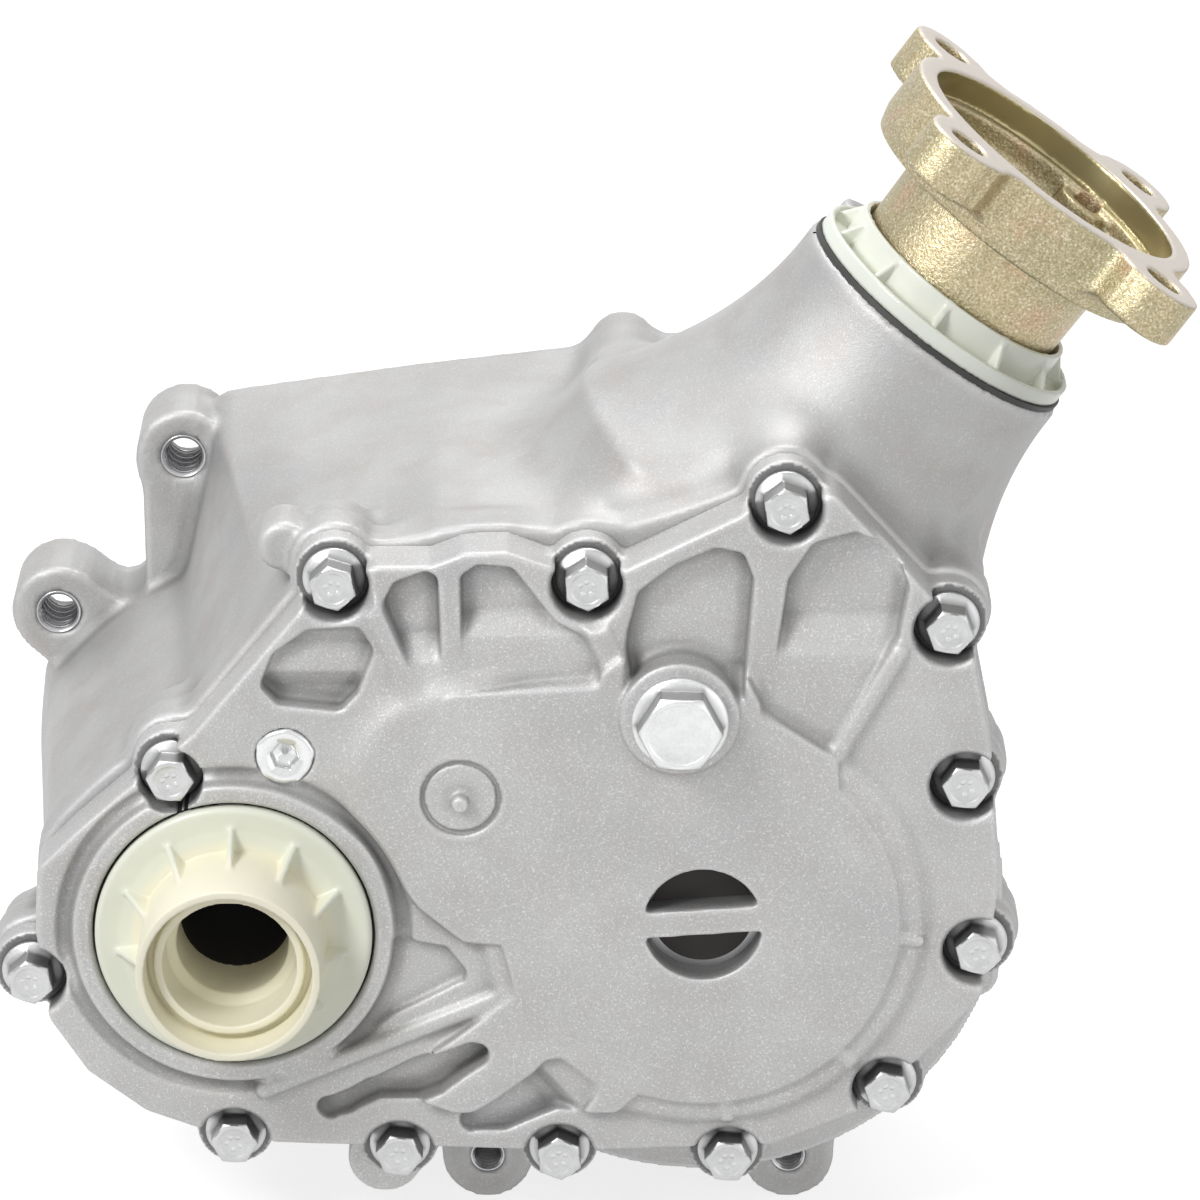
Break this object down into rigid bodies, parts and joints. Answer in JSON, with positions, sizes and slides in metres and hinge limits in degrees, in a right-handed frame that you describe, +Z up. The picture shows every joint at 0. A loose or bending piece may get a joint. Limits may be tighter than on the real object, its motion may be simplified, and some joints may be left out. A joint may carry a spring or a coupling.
{
  "type": "transfer_case",
  "caption": "Automotive power transfer unit: cast housing and cover, hollow input shaft, idler, hypoid gear pair and a slanted output with a four-eared flange.",
  "frame": {"origin": "centre of the input axis on the mating face towards the transaxle", "axes": "+X to the right when facing the cover, towards the ring gear; +Y from the cover towards the transaxle; +Z up"},
  "size_m": [0.3547, 0.216, 0.3446],
  "materials": {
    "cast_aluminium": "sand-blasted die casting",
    "zinc_plated": "clear zinc plate",
    "yellow_zinc": "yellow passivated zinc over rough casting",
    "white_nylon": "moulded natural nylon",
    "seal_rubber": "moulded rubber",
    "ground_steel": "ground and oiled steel"
  },
  "bodies": {
    "housing": {"main_housing": "cast_aluminium", "front_cover": "cast_aluminium", "cover_bolts": "zinc_plated", "cover_dowels": "ground_steel", "fill_plug": "zinc_plated", "fill_plug_washer": "zinc_plated", "level_plug": "zinc_plated", "output_seal": "seal_rubber", "input_seal": "seal_rubber", "pinion_seal": "seal_rubber", "pilot_o_ring": "seal_rubber", "shipping_plug": "white_nylon", "neck_cap": "white_nylon", "input_front_outer_race": "ground_steel", "input_rear_outer_race": "ground_steel", "idler_front_outer_race": "ground_steel", "idler_rear_outer_race": "ground_steel", "ring_front_outer_race": "ground_steel", "ring_rear_outer_race": "ground_steel", "pinion_head_outer_race": "ground_steel", "pinion_tail_outer_race": "ground_steel"},
    "input": {"input_shaft": "ground_steel", "drive_gear": "ground_steel", "input_snap_ring": "ground_steel", "input_front_inner_race": "ground_steel", "input_front_rollers": "ground_steel", "input_rear_inner_race": "ground_steel", "input_rear_rollers": "ground_steel"},
    "idler": {"idler_gear": "ground_steel", "idler_front_inner_race": "ground_steel", "idler_front_rollers": "ground_steel", "idler_rear_inner_race": "ground_steel", "idler_rear_rollers": "ground_steel"},
    "ring": {"ring_shaft": "ground_steel", "driven_gear": "ground_steel", "ring_gear": "ground_steel", "ring_gear_bolts": "ground_steel", "ring_front_inner_race": "ground_steel", "ring_front_rollers": "ground_steel", "ring_rear_inner_race": "ground_steel", "ring_rear_rollers": "ground_steel"},
    "pinion": {"pinion_shaft": "ground_steel", "pinion_spacer": "ground_steel", "pinion_washer": "ground_steel", "pinion_nut": "ground_steel", "companion_flange": "yellow_zinc", "pinion_head_inner_race": "ground_steel", "pinion_head_rollers": "ground_steel", "pinion_tail_inner_race": "ground_steel", "pinion_tail_rollers": "ground_steel"}
  },
  "joints": [
    {"name": "input_spin", "type": "hinge", "parent": "housing", "child": "input", "pos_m": [0, 0, 0], "axis": [0, 1, 0], "continuous": true},
    {"name": "idler_spin", "type": "hinge", "parent": "housing", "child": "idler", "pos_m": [0.06668, 0, 0.0442], "axis": [0, 1, 0], "continuous": true},
    {"name": "ring_spin", "type": "hinge", "parent": "housing", "child": "ring", "pos_m": [0.137, 0, 0.004], "axis": [0, 1, 0], "continuous": true},
    {"name": "pinion_spin", "type": "hinge", "parent": "housing", "child": "pinion", "pos_m": [0.10618, -0.08, 0.02639], "axis": [0.5878, 0, 0.809], "continuous": true}
  ],
  "couplings": [
    {"joint": "idler_spin", "follows": "input_spin", "ratio": -1.1053},
    {"joint": "ring_spin", "follows": "input_spin", "ratio": 0.97674},
    {"joint": "pinion_spin", "follows": "input_spin", "ratio": 2.7526}
  ]
}
